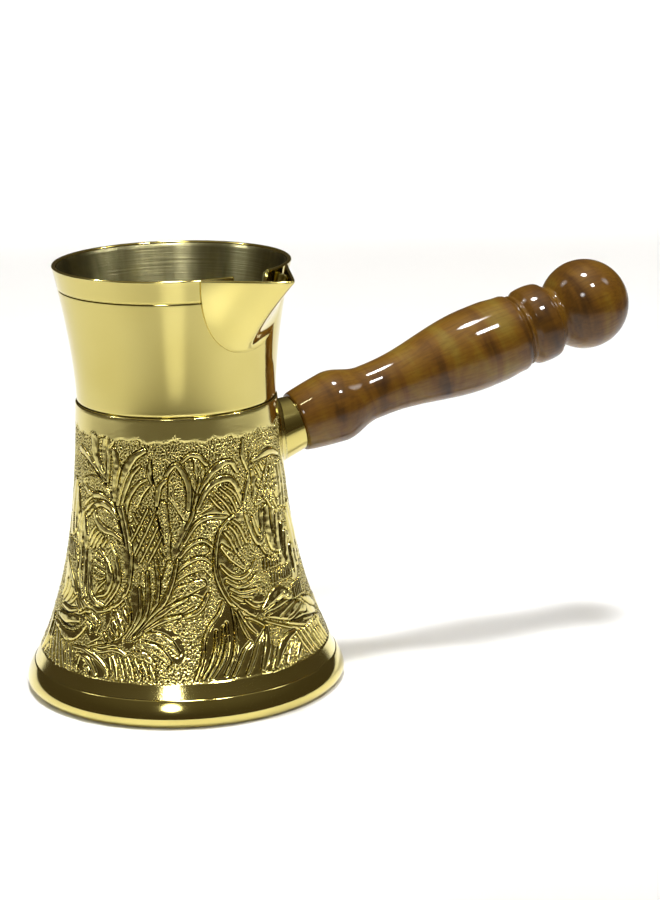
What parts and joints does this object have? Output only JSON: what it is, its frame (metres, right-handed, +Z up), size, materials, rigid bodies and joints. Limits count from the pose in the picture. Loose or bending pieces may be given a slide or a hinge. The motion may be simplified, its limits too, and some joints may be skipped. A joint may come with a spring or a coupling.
{
  "type": "coffee pot",
  "caption": "Flared brass coffee pot with an engraved bell-shaped body, a soldered pouring lip and a turned wooden handle screwed to a tapered socket.",
  "frame": {"origin": "centre of the flat underside of the base pan, on the pot's own axis", "axes": "+Z up along the pot's axis; the handle rises in the XZ plane towards +X; the pouring lip points mostly towards -Y"},
  "size_m": [0.1745, 0.085, 0.113],
  "materials": {
    "polished_brass": "spun and buffed, with fine turning marks",
    "engraved_brass": "chased leaves and stippled ground, darkened in the hollows",
    "solder": "silver solder, as it flowed",
    "tin": "wiped tin with circular marks",
    "steel": "bright screw stock",
    "varnished_wood": "turned, stained and gloss varnished"
  },
  "bodies": {
    "root": {"neck": "polished_brass", "engraved_body": "engraved_brass", "base_pan": "polished_brass", "shoulder_solder": "solder", "foot_solder": "solder", "tin_lining": "tin", "spout_lip": "polished_brass", "spout_solder": "solder", "handle_socket": "polished_brass", "socket_solder": "polished_brass", "socket_plug": "polished_brass", "handle_stud": "steel", "wood_handle": "varnished_wood"}
  },
  "joints": []
}
